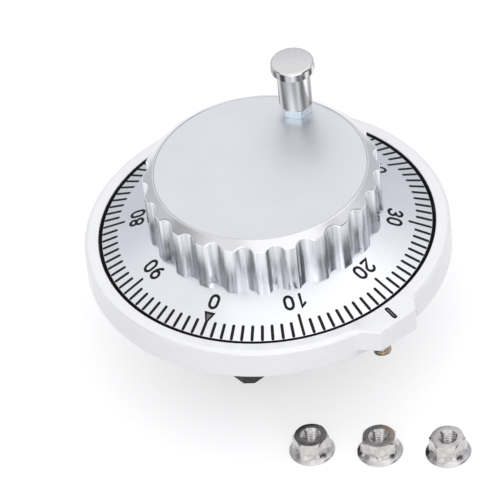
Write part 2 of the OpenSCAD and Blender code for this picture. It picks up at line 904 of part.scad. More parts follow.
module rear_case() {
    color("dimgray")
    difference() {
        union() {
            difference() {
                at_index()
                    translate([0, 0, -case_h]) linear_extrude(case_h - seat_gap) case_outline(0);
                at_index()
                    translate([0, 0, case_back - case_h])
                        linear_extrude(case_h) case_outline(case_wall);
            }
            at_case_corners()
                translate([0, 0, -case_h]) cylinder(r = case_boss_r, h = case_h - seat_gap);
            at_board_screws()
                translate([0, 0, -case_h])
                    cylinder(r = board_pillar_r, h = case_h + board_z - seat_gap);
        }
        at_case_corners() {
            translate([0, 0, -case_h - 1]) cylinder(d = case_screw_d + screw_play, h = case_h + 2);
            translate([0, 0, -case_h - 1])
                cylinder(d = case_screw_head_d + head_play, h = case_screw_sink + 1);
        }
        at_board_screws()
            translate([0, 0, board_z - board_screw_l + board_t - 0.2])
                cylinder(d = board_screw_d + 2 * seat_gap, h = board_screw_l + 2);
        at_terminals()
            translate([leg_p - leg_w / 2 - leg_play, -leg_w / 2 - leg_play, -case_h - 1])
                cube([leg_w + 2 * leg_play, leg_w + 2 * leg_play, case_back + 2]);
    }
}

module case_screws() {
    color("silver")
    at_case_corners()
        translate([0, 0, -case_h + case_screw_sink - seat_gap])
            mirror([0, 0, 1])
                screw(case_screw_d, case_screw_head_d, case_screw_head_h,
                    case_h - case_screw_sink + case_thread_l);
}

module circuit_board() {
    p = case_w - 2 * (case_wall + board_play);
    q = case_l - 2 * (case_wall + board_play);
    color("seagreen")
    difference() {
        at_index()
            translate([-p / 2, -q / 2, board_z]) cube([p, q, board_t]);
        at_case_corners()
            translate([0, 0, board_z - 1]) cylinder(r = case_boss_r + board_play, h = board_t + 2);
        at_board_screws()
            translate([0, 0, board_z - 1]) cylinder(d = board_screw_d + screw_play, h = board_t + 2);
        at_terminals()
            translate([leg_p - leg_w / 2 - seat_gap, -leg_w / 2 - seat_gap, board_z - 1])
                cube([leg_w + 2 * seat_gap, leg_w + 2 * seat_gap, board_t + 2]);
    }
}

module board_screws() {
    color("silver")
    at_board_screws()
        translate([0, 0, board_top + seat_gap])
            screw(board_screw_d, board_head_d, board_head_h, board_screw_l);
}

// Fork-shaped light barrier that the disc's rim runs through
module photo_interrupter() {
    slot = [disc_z - disc_gap, disc_z + disc_t + disc_gap];
    color("black")
    at_index()
        difference() {
            translate([-sensor_p / 2, sensor_q[0], board_top + seat_gap])
                cube([sensor_p, sensor_q[1] - sensor_q[0], sensor_top - board_top - seat_gap]);
            translate([-sensor_p, sensor_q[0] - 1, slot[0]])
                cube([2 * sensor_p, disc_d / 2 + disc_gap - sensor_q[0] + 1, slot[1] - slot[0]]);
        }
}

module disc_hub() {
    color("silver")
    difference() {
        union() {
            translate([0, 0, disc_z + disc_t + seat_gap])
                cylinder(r = disc_flange_r, h = disc_flange_t);
            translate([0, 0, disc_z + disc_t + disc_flange_t])
                cylinder(r = disc_sleeve_r, h = disc_sleeve_h);
        }
        translate([0, 0, disc_z]) cylinder(r = tail_r + seat_gap, h = case_h);
        at_set_screw() cylinder(r = set_screw_d / 2 + seat_gap, h = disc_sleeve_r + 1);
    }
}

module at_set_screw() {
    translate([0, 0, disc_z + disc_t + disc_flange_t + disc_sleeve_h / 2])
        rotate([0, 90, 0]) children();
}

module disc_set_screw() {
    color("dimgray")
    at_set_screw()
        translate([0, 0, tail_r + seat_gap])
            cylinder(d = set_screw_d, h = disc_sleeve_r - tail_r - set_screw_sink);
}

module code_disc() {
    color("lightblue")
    difference() {
        translate([0, 0, disc_z]) ring(disc_d / 2, tail_r + seat_gap, disc_t);
        for (i = [0:windows - 1])
            rotate([0, 0, 360 / windows * i])
                translate([window_r, -window_w / 2, disc_z - 1])
                    cube([window_l, window_w, disc_t + 2]);
    }
}

// Barrier block: a rib on each side of every terminal, open towards the wires
module terminal_block() {
    color("darkolivegreen")
    at_index()
        difference() {
            translate([-block_w / 2, -block_l / 2, floor_z])
                cube([block_w, block_l, block_h - seat_gap]);
            for (q = terminals_q)
                translate([-block_w / 2 - 1, q - terminal_bay / 2, floor_z - 1])
                    cube([block_w + 1 - block_wall, terminal_bay, block_h - block_base + 1]);
            for (q = terminals_q)
                translate([leg_p - leg_w / 2 - seat_gap, q - leg_w / 2 - seat_gap, floor_z])
                    cube([leg_w + 2 * seat_gap, leg_w + 2 * seat_gap, block_h + 1]);
            for (q = terminals_q)
                translate([terminal_screw_p, q, -case_h - block_base - 1])
                    cylinder(d = terminal_screw_d + 2 * seat_gap, h = block_base);
        }
}

// Contact plate with its solder leg, one per terminal
module terminal_plates() {
    plate_z0 = -case_h - block_base - plate_t - seat_gap;
    plate_w = terminal_bay - 2 * plate_play;
    color("gold")
    at_terminals()
        difference() {
            union() {
                translate([plate_p, -plate_w / 2, plate_z0]) cube([plate_l, plate_w, plate_t]);
                translate([leg_p - leg_w / 2, -leg_w / 2, plate_z0])
                    cube([leg_w, leg_w, board_top - seat_gap - plate_z0]);
            }
            translate([terminal_screw_p, 0, plate_z0 - 1])
                cylinder(d = terminal_screw_d + leg_play, h = plate_t + 2);
        }
}

module terminal_screws() {
    color("silver")
    at_terminals()
        translate([terminal_screw_p, 0, -case_h - block_base - plate_t - 2 * seat_gap])
            mirror([0, 0, 1])
                screw(terminal_screw_d, terminal_head_d, terminal_head_h, terminal_screw_l);
}

bezel();
index_mark();
dust_ring();
panel_gasket();
mounting_studs();
flange_nuts();
bearing_outer_rings();
detent_spring();
rear_case();
case_screws();
circuit_board();
board_screws();
photo_interrupter();
terminal_block();
terminal_plates();
terminal_screws();
knob();
top_cap();
dial_ring();
dial_screws();
detent_ring();
shaft();
hub_washer();
hub_screw();
bearing_inner_rings();
bearing_spacer();
knob_spacer();
circlip();
disc_hub();
disc_set_screw();
code_disc();
crank_pin();
crank_snap_ring();
crank_grip();
bearing_balls();
bearing_cages();
detent_plunger();
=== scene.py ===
"""Looks of a panel handwheel with a graduated dial: its visible shells, marks, threads and finishes.

Shapes are written in millimetres and turned into metres where each mesh is made.
"""
import json
import math

import bmesh
import bpy
from mathutils import Matrix, Vector


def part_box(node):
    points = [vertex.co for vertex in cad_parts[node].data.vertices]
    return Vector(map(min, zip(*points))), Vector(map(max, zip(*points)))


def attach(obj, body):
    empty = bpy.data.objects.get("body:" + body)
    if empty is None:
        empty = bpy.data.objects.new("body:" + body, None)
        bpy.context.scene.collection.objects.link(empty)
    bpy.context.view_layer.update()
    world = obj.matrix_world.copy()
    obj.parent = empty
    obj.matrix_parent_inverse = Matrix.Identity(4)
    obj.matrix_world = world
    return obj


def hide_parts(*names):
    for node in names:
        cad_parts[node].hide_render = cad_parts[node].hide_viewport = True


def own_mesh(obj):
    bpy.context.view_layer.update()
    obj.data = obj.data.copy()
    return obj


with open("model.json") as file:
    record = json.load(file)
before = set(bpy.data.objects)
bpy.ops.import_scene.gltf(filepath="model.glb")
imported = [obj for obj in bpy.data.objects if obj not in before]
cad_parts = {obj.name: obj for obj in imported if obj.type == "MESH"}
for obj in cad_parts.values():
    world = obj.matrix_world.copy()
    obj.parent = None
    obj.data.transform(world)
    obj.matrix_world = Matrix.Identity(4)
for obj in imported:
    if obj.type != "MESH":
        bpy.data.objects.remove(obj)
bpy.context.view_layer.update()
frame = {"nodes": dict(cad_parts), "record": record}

MM = 0.001
NODES = frame["nodes"]


def mm_box(node):
    """Lowest and highest corner of a CAD node, in millimetres."""
    low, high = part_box(node)
    return low / MM, high / MM


def middle(node):
    """Centre of a CAD node's box, in millimetres."""
    low, high = mm_box(node)
    return (low + high) / 2


# ---------- sizes and places, from the frame where it gives them ----------

SEAT = 0.02  # gap between pieces that sit against each other in the solids
LIFT = 0.03  # how far paint stands on the dial

bezel_low, bezel_high = mm_box("bezel")
BEZEL_R = -bezel_low.x
BEZEL_TOP = mm_box("index_mark")[1].z + SEAT
EDGE_ROUND = 1.1  # rounding of the upper edge, which is smaller on the tab
TAB_ROUND = 0.45
WELL_R = BEZEL_R - 3.15
SHELF_Z = mm_box("dust_ring")[0].z - SEAT
SHELF_R = WELL_R - 4.9
FLOOR_T = 2
HUB_R = 12
HUB_TOP = bezel_high.z
BEARING_R = 8.02
SHOULDER_R = 6.9
SHOULDER_LOW, SHOULDER_HIGH = 6.5, 12.5
MOUTH_R = 8.1
MOUTH_T = 1.5
GASKET_OUT = mm_box("panel_gasket")[1].x + SEAT
GASKET_IN = GASKET_OUT - 2
GASKET_T = mm_box("panel_gasket")[1].z + SEAT

mark = middle("index_mark")
INDEX_ANGLE = math.atan2(mark.y, mark.x)
MARK_ANGLE = INDEX_ANGLE - math.radians(9)  # the mark is turned from the radius
TAB_ANGLE = INDEX_ANGLE - math.radians(1.1)
TAB_REACH = 3.1
TAB_FACE = 5.0  # half the width of the tab's flat end, and half its width at the root
TAB_ROOT = 8.4
TAB_BLEND = 3
TAB_UNDER = BEZEL_TOP - 5.4

RIM_R = mm_box("dial_ring")[1].x
RIM_Z = BEZEL_TOP - 0.2
DIAL_SLOPE = math.tan(math.radians(20.8))
DIAL_T = 1.6
PULSES = 100

KNOB_TOP = mm_box("knob")[1].z
CREST_R = 25.7
VALLEY_R = CREST_R - 1.05
FLUTES = 24
FLUTE_R = 2.7
FLAT_R = 23.5
BEVEL = math.tan(math.radians(37))
BORE_R = 22.2
CAP_R = mm_box("top_cap")[1].x
PLATE_TOP = mm_box("top_cap")[0].z - SEAT
PLATE_Z = PLATE_TOP - 3
KNOB_FOOT = 10.5

grip_low, grip_high = mm_box("crank_grip")
CRANK = middle("crank_grip")
CRANK_ANGLE = math.atan2(CRANK.y, CRANK.x)
ZERO_ANGLE = CRANK_ANGLE - math.radians(179)
HEAD_R = (grip_high.x - grip_low.x) / 2
PIN_R = 2
HEX_AF = 6
HEX_TOP = grip_low.z - 0.4

STUD_R = frame["record"]["mounts"][0]["dims"]["pcd_mm"] / 2
STUD_D = 4
FLOOR_Z = mm_box("terminal_block")[0].z
NUT_AF = 7
NUT_FLANGE = 10
THREAD_PITCH = 0.7
THREAD_STEP = 0.07  # height between the rings of points that draw a thread


def dial_z(radius):
    """Height of the dial's sloping face at a radius."""
    return RIM_Z + DIAL_SLOPE * (RIM_R - radius)


# ---------- materials ----------

class Finish:
    """A node material: broad cloudiness in its colour and roughness, and a fine grain in its relief."""

    def __init__(self, name, color, metallic, roughness):
        self.material = bpy.data.materials.new(name)
        self.material.use_nodes = True
        self.tree = self.material.node_tree
        self.shader = self.tree.nodes["Principled BSDF"]
        self.shader.inputs["Metallic"].default_value = metallic
        self.color = color
        self.roughness = roughness
        self.place = self.tree.nodes.new("ShaderNodeTexCoord").outputs["Object"]

    def noise(self, size, detail=3, stretch=(1, 1, 1)):
        """Noise with features of that size in millimetres, drawn out by stretch."""
        mapping = self.tree.nodes.new("ShaderNodeMapping")
        mapping.inputs["Scale"].default_value = [1 / (size * MM * s) for s in stretch]
        self.tree.links.new(self.place, mapping.inputs["Vector"])
        noise = self.tree.nodes.new("ShaderNodeTexNoise")
        noise.inputs["Scale"].default_value = 1
        noise.inputs["Detail"].default_value = detail
        self.tree.links.new(mapping.outputs["Vector"], noise.inputs["Vector"])
        return noise.outputs["Fac"]

    def spread(self, value, low, high):
        """Maps the middle of a noise to the range from low to high."""
        span = self.tree.nodes.new("ShaderNodeMapRange")
        span.inputs["From Min"].default_value = 0.3
        span.inputs["From Max"].default_value = 0.7
        span.inputs["To Min"].default_value = low
        span.inputs["To Max"].default_value = high
        self.tree.links.new(value, span.inputs["Value"])
        return span.outputs["Result"]

    def cloud(self, value, tint, rough_shift, tone=(1, 1, 1)):
        """Colour and roughness that drift with a noise. tone is the tint of the darker places."""
        ramp = self.tree.nodes.new("ShaderNodeValToRGB")
        ramp.color_ramp.elements[0].position = 0.3
        ramp.color_ramp.elements[1].position = 0.7
        dark = [max(0.0, c * (1 - tint) * t) for c, t in zip(self.color, tone)]
        light = [min(1.0, c * (1 + tint)) for c in self.color]
        ramp.color_ramp.elements[0].color = (*dark, 1)
        ramp.color_ramp.elements[1].color = (*light, 1)
        self.tree.links.new(value, ramp.inputs["Fac"])
        self.tree.links.new(ramp.outputs["Color"], self.shader.inputs["Base Color"])
        rough = self.spread(value, self.roughness - rough_shift, self.roughness + rough_shift)
        self.tree.links.new(rough, self.shader.inputs["Roughness"])
        return self

    def relief(self, value, depth):
        """Bump of that depth in millimetres, on top of any relief made before."""
        bump = self.tree.nodes.new("ShaderNodeBump")
        bump.inputs["Distance"].default_value = depth * MM
        self.tree.links.new(value, bump.inputs["Height"])
        normal = self.shader.inputs["Normal"]
        if normal.is_linked:
            self.tree.links.new(normal.links[0].from_socket, bump.inputs["Normal"])
        self.tree.links.new(bump.outputs["Normal"], normal)
        return self

    def brushed(self, amount):
        """Draws reflections out along the spindle's direction, as on a surface polished that way."""
        tangent = self.tree.nodes.new("ShaderNodeTangent")
        tangent.direction_type = "RADIAL"
        tangent.axis = "Z"
        self.tree.links.new(tangent.outputs["Tangent"], self.shader.inputs["Tangent"])
        self.shader.inputs["Anisotropic"].default_value = amount
        self.shader.inputs["Anisotropic Rotation"].default_value = 0.25
        return self

    def coat(self, weight, roughness):
        self.shader.inputs["Coat Weight"].default_value = weight
        self.shader.inputs["Coat Roughness"].default_value = roughness
        return self


def silver_coat():
    finish = Finish("silver_coat", (0.96, 0.96, 0.976), 0.16, 0.2)
    finish.cloud(finish.noise(6), 0.015, 0.03)
    return finish.relief(finish.noise(0.18, 2), 0.004).material


def satin_dial():
    finish = Finish("satin_dial", (0.84, 0.85, 0.89), 1.0, 0.26)
    finish.cloud(finish.noise(9), 0.02, 0.03)
    return finish.relief(finish.noise(0.15, 2), 0.002).material


def satin_cap():
    finish = Finish("satin_cap", (0.83, 0.84, 0.87), 1.0, 0.42)
    finish.cloud(finish.noise(12, 4), 0.02, 0.025)
    return finish.relief(finish.noise(0.12, 2), 0.0015).material


def satin_bevel():
    finish = Finish("satin_bevel", (0.77, 0.77, 0.795), 1.0, 0.2)
    finish.cloud(finish.noise(9), 0.015, 0.02)
    return finish.relief(finish.noise(0.12, 2), 0.0015).material


def polished_flutes():
    """Metal polished along the flutes, with lighter and darker streaks down them that are painted
    reflections.
    """
    finish = Finish("polished_flutes", (0.72, 0.73, 0.765), 1.0, 0.2)
    finish.cloud(finish.noise(0.9, 1, (1, 1, 40)), 0.26, 0.05)
    return finish.brushed(0.6).material


def chrome():
    finish = Finish("chrome", (0.74, 0.73, 0.725), 1.0, 0.13)
    finish.cloud(finish.noise(1.2, 3, (1, 1, 8)), 0.03, 0.03)
    finish.relief(finish.noise(0.8, 2, (1, 1, 10)), 0.006)
    return finish.brushed(0.6).material


def streaked_chrome():
    """Chrome polished along the grip, with painted reflections: streaks of darker and lighter colour
    down its wall.
    """
    finish = Finish("streaked_chrome", (0.55, 0.545, 0.55), 1.0, 0.13)
    finish.cloud(finish.noise(1.4, 0, (1, 1, 30)), 0.85, 0.02)
    return finish.brushed(0.6).material


def blue_zinc():
    finish = Finish("blue_zinc", (0.76, 0.84, 0.89), 1.0, 0.2)
    finish.cloud(finish.noise(1.5), 0.06, 0.05, (0.95, 1, 1.04))
    return finish.relief(finish.noise(0.1), 0.004).material


def yellow_zinc():
    finish = Finish("yellow_zinc", (0.62, 0.52, 0.43), 1.0, 0.22)
    finish.cloud(finish.noise(0.9), 0.18, 0.08, (1, 0.9, 0.78))
    return finish.relief(finish.noise(0.08), 0.006).material


def stainless():
    finish = Finish("stainless", (0.6, 0.58, 0.57), 1.0, 0.15)
    finish.cloud(finish.noise(1.6), 0.15, 0.04)
    return finish.relief(finish.noise(0.07, 2), 0.005).material


def steel(name, color, roughness):
    finish = Finish(name, color, 1.0, roughness)
    finish.cloud(finish.noise(1.3), 0.06, 0.05)
    return finish.relief(finish.noise(0.09, 2), 0.003).material


def black_paint():
    finish = Finish("black_paint", (0.01, 0.01, 0.011), 0.0, 0.5)
    finish.shader.inputs["Specular IOR Level"].default_value = 0.2
    finish.cloud(finish.noise(0.7), 0.2, 0.06)
    return finish.relief(finish.noise(0.06), 0.004).material


def worn_paint():
    # Grey that stands for the sheen on glossy black paint: a painted highlight.
    finish = Finish("worn_paint", (0.13, 0.13, 0.135), 0.3, 0.35)
    finish.cloud(finish.noise(0.4), 0.5, 0.05)
    return finish.relief(finish.noise(0.06), 0.004).material


def moulded(name, color, roughness, depth=0.012):
    finish = Finish(name, color, 0.0, roughness)
    finish.cloud(finish.noise(4), 0.12, 0.05)
    return finish.relief(finish.noise(0.16, 2), depth).material


def felt():
    # Black felt. The same material on the bezel's well wall is painted shade for the gap round the
    # dial.
    finish = Finish("felt", (0.018, 0.018, 0.02), 0.0, 0.95)
    finish.cloud(finish.noise(0.5, 5), 0.4, 0.03)
    return finish.relief(finish.noise(0.12, 5, (1, 3, 1)), 0.06).material


def solder_mask():
    finish = Finish("solder_mask", (0.015, 0.16, 0.06), 0.0, 0.3)
    finish.cloud(finish.noise(1.4), 0.12, 0.05)
    return finish.relief(finish.noise(0.3), 0.01).coat(0.4, 0.1).material


def etched_film():
    finish = Finish("etched_film", (0.32, 0.34, 0.36), 0.6, 0.2)
    finish.cloud(finish.noise(3), 0.06, 0.04)
    return finish.relief(finish.noise(0.2), 0.002).material


SILVER = silver_coat()
DIAL = satin_dial()
CAP = satin_cap()
BEVEL_METAL = satin_bevel()
FLUTE_METAL = polished_flutes()
# Bright metal for the rim between flutes and bevel: a painted highlight line.
EDGE_HIGHLIGHT_METAL = steel("polished_edge", (0.95, 0.95, 0.96), 0.2)
CHROME = chrome()
CHROME_PAINTED_REFLECTIONS = streaked_chrome()
BLUE_ZINC = blue_zinc()
YELLOW_ZINC = yellow_zinc()
THREAD_ROOT_SHADE = steel("oiled_thread", (0.08, 0.065, 0.055), 0.35)
STAINLESS = stainless()
GROUND_STEEL = steel("ground_steel", (0.6, 0.6, 0.61), 0.22)
BEARING_STEEL = steel("bearing_steel", (0.7, 0.7, 0.71), 0.14)
SPRING_STEEL = steel("spring_steel", (0.4, 0.4, 0.41), 0.3)
ZINC_STEEL = steel("zinc_steel", (0.64, 0.65, 0.66), 0.3)
BRASS = steel("brass", (0.72, 0.55, 0.26), 0.26)
CAGE_BRASS = steel("cage_brass", (0.68, 0.5, 0.27), 0.34)
PAINT = black_paint()
PAINTED_SHEEN = worn_paint()
CASE_PLASTIC = moulded("case_plastic", (0.022, 0.022, 0.024), 0.5)
BLOCK_PLASTIC = moulded("block_plastic", (0.03, 0.03, 0.032), 0.42)
SENSOR_PLASTIC = moulded("sensor_plastic", (0.02, 0.02, 0.022), 0.35, 0.006)
RUBBER = moulded("rubber", (0.025, 0.025, 0.026), 0.75, 0.02)
FELT_AND_GAP_SHADE = felt()
MASK = solder_mask()
FILM = etched_film()

CARRIED = {
    "dust_ring": FELT_AND_GAP_SHADE, "panel_gasket": RUBBER, "bearing_outer_rings": BEARING_STEEL,
    "rear_case": CASE_PLASTIC, "case_screws": ZINC_STEEL,
    "circuit_board": MASK, "board_screws": ZINC_STEEL, "photo_interrupter": SENSOR_PLASTIC,
    "terminal_block": BLOCK_PLASTIC, "terminal_plates": BRASS, "terminal_screws": ZINC_STEEL,
    "dial_screws": ZINC_STEEL, "detent_ring": BRASS, "shaft": GROUND_STEEL,
    "hub_washer": ZINC_STEEL, "hub_screw": ZINC_STEEL, "bearing_inner_rings": BEARING_STEEL,
    "bearing_spacer": GROUND_STEEL, "knob_spacer": GROUND_STEEL, "circlip": SPRING_STEEL,
    "disc_hub": GROUND_STEEL, "disc_set_screw": SPRING_STEEL, "code_disc": FILM,
    "crank_snap_ring": SPRING_STEEL, "bearing_balls": BEARING_STEEL,
    "bearing_cages": CAGE_BRASS, "detent_plunger": GROUND_STEEL,
}


# ---------- mesh helpers ----------

def even(count, start=0.0):
    """That many directions spread evenly round a circle."""
    return [start + 2 * math.pi * i / count for i in range(count)]


def arc(r, z, radius, start, end, steps=5):
    """Points of a profile along an arc. The angles are in degrees, from the outward direction."""
    turns = [math.radians(start + (end - start) * i / steps) for i in range(steps + 1)]
    return [(r + radius * math.cos(t), z + radius * math.sin(t)) for t in turns]


def round_min(a, b, blend):
    """The smaller of two radii, with the corner between them rounded."""
    mix = max(0.0, min(1.0, 0.5 + (b - a) / (2 * blend)))
    return b * (1 - mix) + a * mix - blend * mix * (1 - mix)


def finish_mesh(name, points, faces, material, body, replaces=(), sharp=35):
    """Makes a piece from points in millimetres, with smooth faces between its sharp edges."""
    mesh = bpy.data.meshes.new(name)
    mesh.from_pydata([Vector(p) * MM for p in points], [], faces)
    work = bmesh.new()
    work.from_mesh(mesh)
    bmesh.ops.remove_doubles(work, verts=work.verts, dist=0.0005 * MM)
    bmesh.ops.recalc_face_normals(work, faces=work.faces)
    work.to_mesh(mesh)
    work.free()
    mesh.polygons.foreach_set("use_smooth", [True] * len(mesh.polygons))
    mesh.set_sharp_from_angle(angle=math.radians(sharp))
    mesh.materials.append(material)
    piece = bpy.data.objects.new(name, mesh)
    bpy.context.scene.collection.objects.link(piece)
    weighted = piece.modifiers.new("weighted", "WEIGHTED_NORMAL")
    weighted.keep_sharp = True
    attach(piece, body)
    if replaces:
        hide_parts(*replaces)
    return piece


def paint_faces(piece, material, chosen, axes=((0, 0),)):
    """Gives a material to the faces of a turned piece whose radius and height are chosen."""
    slot = len(piece.data.materials)
    piece.data.materials.append(material)
    for face in piece.data.polygons:
        centre = face.center / MM
        radius = min(math.hypot(centre.x - x, centre.y - y) for x, y in axes)
        if chosen(radius, centre.z):
            face.material_index = slot


def turned(profile, angles, centre=(0, 0), looped=False):
    """Points and faces of a profile turned round an axis.

    A radius or a height is a number or a function of direction.
    """
    points = []
    for radius, height in profile:
        for angle in angles:
            r = radius(angle) if callable(radius) else radius
            z = height(angle) if callable(height) else height
            points.append((centre[0] + r * math.cos(angle), centre[1] + r * math.sin(angle), z))
    count = len(angles)
    rings = len(profile)
    faces = []
    for i in range(rings if looped else rings - 1):
        a = i * count
        b = (i + 1) % rings * count
        for j in range(count):
            k = (j + 1) % count
            faces.append((a + j, a + k, b + k, b + j))
    return points, faces


def several(parts):
    """Joins lists of (points, faces) into one."""
    points, faces = [], []
    for some_points, some_faces in parts:
        base = len(points)
        points += some_points
        faces += [tuple(base + v for v in face) for face in some_faces]
    return points, faces


def prism(outline, place):
    """Solid between two copies of an outline. place(x, y, level) gives a point, and level is 0 or 1."""
    count = len(outline)
    points = [place(x, y, level) for level in (0, 1) for x, y in outline]
    faces = [tuple(range(count)), tuple(range(2 * count - 1, count - 1, -1))]
    faces += [(i, (i + 1) % count, count + (i + 1) % count, count + i) for i in range(count)]
    return points, faces


# ---------- bezel ----------

def tab_outline():
    """Radius of the bezel's outline, tab included, as a function of direction."""
    face = Vector((BEZEL_R + TAB_REACH, TAB_FACE))
    root = Vector((math.sqrt(BEZEL_R ** 2 - TAB_ROOT ** 2), TAB_ROOT))
    flank = (root - face).normalized()
    start = face + TAB_BLEND * Vector((flank.y, -flank.x))
    along = start.dot(flank)
    run = -along - math.sqrt(along ** 2 - start.dot(start) + (BEZEL_R + TAB_BLEND) ** 2)
    blend = start + run * flank
    touch = face + run * flank

    def outline(angle):
        off = abs((angle - TAB_ANGLE + math.pi) % (2 * math.pi) - math.pi)
        ray = Vector((math.cos(off), math.sin(off)))
        if off <= math.atan2(face.y, face.x):
            return face.x / ray.x
        if off <= math.atan2(touch.y, touch.x):
            return face.cross(flank) / ray.cross(flank)
        if off <= math.atan2(blend.y, blend.x):
            reach = blend.dot(ray)
            return reach - math.sqrt(reach ** 2 - blend.dot(blend) + TAB_BLEND ** 2)
        return BEZEL_R

    def softened(angle):
        """Mean over a little more than a degree, which rounds the tab's corners."""
        steps = [math.radians(0.15 * i) for i in range(-4, 5)]
        return sum(outline(angle + step) for step in steps) / len(steps)

    return softened


def bezel_angles():
    """Directions round the bezel, closer together along the tab."""
    wide = math.radians(13)
    on_tab, elsewhere = 160, 540
    tab = [INDEX_ANGLE - wide + 2 * wide * i / on_tab for i in range(on_tab + 1)]
    rest = 2 * math.pi - 2 * wide
    return tab + [INDEX_ANGLE + wide + rest * i / elsewhere for i in range(1, elsewhere)]


def bezel():
    """Coated bezel: tab, rounded edge, well for the dial, stud shelf and bearing hub.

    The guide of the detent plunger is left out. It is inside and can't be seen.
    """
    outline = tab_outline()
    foot_edge = 0.3
    well_edge = 0.25
    blend_reach = 1.5

    def tab_only(distance):
        return lambda angle: max(BEZEL_R, outline(angle) - distance)

    def rounding(angle):
        share = min(1, (outline(angle) - BEZEL_R) / blend_reach)
        return EDGE_ROUND + (TAB_ROUND - EDGE_ROUND) * share

    def rounded(turn):
        return (lambda angle: outline(angle) - rounding(angle) * (1 - math.cos(turn)),
                lambda angle: BEZEL_TOP - rounding(angle) * (1 - math.sin(turn)))

    round_off = [rounded(math.radians(9 * i)) for i in range(11)]
    gasket_groove = [(GASKET_IN, 0), (GASKET_IN, GASKET_T), (GASKET_OUT, GASKET_T), (GASKET_OUT, 0)]
    tab_underside = [(BEZEL_R, TAB_UNDER - 0.02), (tab_only(foot_edge), TAB_UNDER),
                     (tab_only(0.09), TAB_UNDER + 0.09), (outline, TAB_UNDER + foot_edge)]
    well = [*arc(WELL_R + well_edge, BEZEL_TOP - well_edge, well_edge, 90, 180, 4),
            (WELL_R, BEZEL_TOP - 0.3), (WELL_R, SHELF_Z), (SHELF_R, SHELF_Z), (SHELF_R, FLOOR_T)]
    hub = [(HUB_R, FLOOR_T), (HUB_R, HUB_TOP), (BEARING_R, HUB_TOP), (BEARING_R, SHOULDER_HIGH),
           (SHOULDER_R, SHOULDER_HIGH), (SHOULDER_R, SHOULDER_LOW), (BEARING_R, SHOULDER_LOW),
           (BEARING_R, MOUTH_T)]
    profile = [(MOUTH_R, MOUTH_T), (MOUTH_R, 0), *gasket_groove,
               *arc(BEZEL_R - foot_edge, foot_edge, foot_edge, -90, 0, 3),
               *tab_underside, *round_off, *well, *hub]
    points, faces = turned(profile, bezel_angles(), looped=True)
    shell = finish_mesh("bezel_shell", points, faces, SILVER, "housing", ["bezel"])
    # The well's wall below its rounded edge is painted black: painted shade for the dark gap round the
    # dial.
    paint_faces(shell, FELT_AND_GAP_SHADE, lambda r, z: abs(r - WELL_R) < 0.02 and z < BEZEL_TOP - well_edge)


def index_line():
    """Black filling of the slot in the tab, with round ends and a grey painted highlight down its
    middle.
    """
    low = mm_box("index_mark")[0]
    half_width = 0.53
    half_length = 2.05 - half_width

    def slot(name, half_w, half_l, bottom, top, material, replaces):
        turns = [math.radians(-90 + 15 * i) for i in range(13)]
        half = [(half_l + half_w * math.cos(t), half_w * math.sin(t)) for t in turns]
        outline = half + [(-x, -y) for x, y in half]

        def place(x, y, level):
            return (mark.x + x * math.cos(MARK_ANGLE) - y * math.sin(MARK_ANGLE),
                    mark.y + x * math.sin(MARK_ANGLE) + y * math.cos(MARK_ANGLE),
                    bottom if level == 0 else top)

        points, faces = prism(outline, place)
        finish_mesh(name, points, faces, material, "housing", replaces)

    slot("index_line", half_width, half_length, low.z, BEZEL_TOP + 0.01, PAINT, ["index_mark"])
    # Grey strip down the slot's middle: a painted highlight on the black filling.
    slot("index_line_middle", 0.16, half_length - 0.25, BEZEL_TOP, BEZEL_TOP + 0.016, PAINTED_SHEEN, [])


def bosses():
    """The bezel's four bosses for the case screws."""
    bore, wall_r, edge = 1.52, 2.9, 0.2
    foot, top = FLOOR_T - 0.2, 5.4
    profile = [(bore, foot), (bore, top - edge), (bore + 0.18, top), (wall_r - edge, top),
               (wall_r, top - edge), (wall_r, foot)]
    turn = Matrix.Rotation(INDEX_ANGLE, 2)
    places = [turn @ Vector((x, y)) for x in (-14.6, 14.6) for y in (-20, 20)]
    points, faces = several([turned(profile, even(32), place, looped=True) for place in places])
    finish_mesh("bezel_bosses", points, faces, SILVER, "housing")


# ---------- dial ----------

def dial():
    """Conical dial, hollow below, with a flat flange under the knob."""
    flange_r = 16.5
    step_r = 21.9
    flange_top = dial_z(step_r) - 0.7
    hollow_in, hollow_out = 23.0, 35.6
    edge = 0.12
    profile = [(flange_r, flange_top), (step_r, flange_top), (step_r, dial_z(step_r)),
               (RIM_R - edge, dial_z(RIM_R - edge)), (RIM_R - 0.02, RIM_Z - 0.03),
               (RIM_R, RIM_Z - edge), (RIM_R, RIM_Z - DIAL_T), (hollow_out, RIM_Z - DIAL_T),
               (hollow_in, flange_top - DIAL_T), (flange_r, flange_top - DIAL_T)]
    points, faces = turned(profile, even(480), looped=True)
    finish_mesh("dial_face", points, faces, DIAL, "handwheel", ["dial_ring"], sharp=20)


def on_dial(angle, radius, side, lift):
    """Point on the dial's face: side is the distance clockwise from the direction of angle."""
    turn = angle - side / radius
    return radius * math.cos(turn), radius * math.sin(turn), dial_z(radius) + lift


def line(*points):
    """Path of straight stretches through points."""
    return [Vector(point) for point in points]


